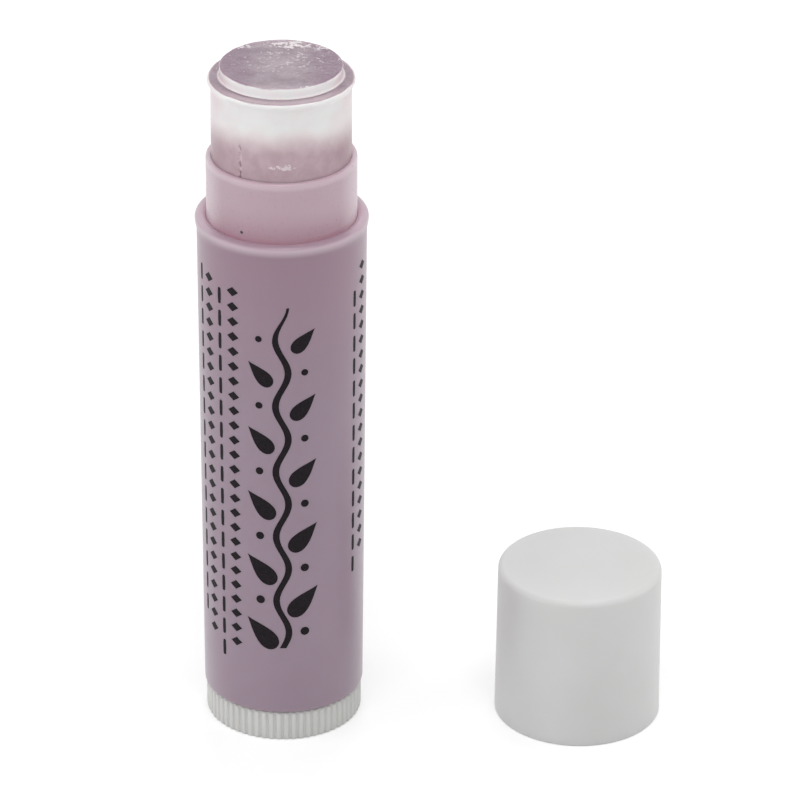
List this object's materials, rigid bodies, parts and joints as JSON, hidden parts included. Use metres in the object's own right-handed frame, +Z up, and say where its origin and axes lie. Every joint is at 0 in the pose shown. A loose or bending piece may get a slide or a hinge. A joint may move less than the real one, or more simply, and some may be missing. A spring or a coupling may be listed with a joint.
{
  "type": "stain remover stick",
  "caption": "Twist-up stain remover stick: a flanged gel stick wound out of a tapered barrel by a ribbed base knob, with its cap standing beside it.",
  "frame": {"origin": "centre of the knob's underside, on the surface that the stick stands on", "axes": "+Z up along the stick's axis towards the gel, -Y towards the front, +X towards the cap that stands beside the stick"},
  "size_m": [0.0561, 0.0211, 0.0849],
  "materials": {
    "sleeve_plastic": "satin moulded polypropylene, dusty pink",
    "tube_plastic": "thin, slightly translucent polypropylene, dusty pink",
    "gel": "translucent cast gel, glossy and uneven on top, frosted where it has dried",
    "white_plastic": "moulded white polypropylene",
    "seal_rubber": "soft rubber washer",
    "cap_plastic": "moulded white polypropylene, satin",
    "liner_plastic": "soft foamed liner disc"
  },
  "bodies": {
    "barrel": {"outer_sleeve": "sleeve_plastic", "inner_tube": "tube_plastic", "seal_ring": "seal_rubber"},
    "knob": {"twist_knob": "white_plastic", "spindle": "white_plastic"},
    "carriage": {"carrier_cup": "white_plastic", "gel_stick": "gel"},
    "cap": {"cap_shell": "cap_plastic", "cap_liner": "liner_plastic"}
  },
  "joints": [
    {"name": "knob_twist", "type": "hinge", "parent": "barrel", "child": "knob", "pos_m": [0, 0, 0], "axis": [0, 0, 1], "range_deg": [-528, 5760]},
    {"name": "stick_feed", "type": "slide", "parent": "barrel", "child": "carriage", "axis": [0, 0, 1], "range_m": [-0.0044, 0.048]},
    {"name": "cap_lift", "type": "slide", "parent": "barrel", "child": "cap", "axis": [0, 0, 1], "range_m": [0, 0.09]}
  ],
  "couplings": [
    {"joint": "knob_twist", "follows": "stick_feed", "rad_per_m": 2094.4}
  ]
}
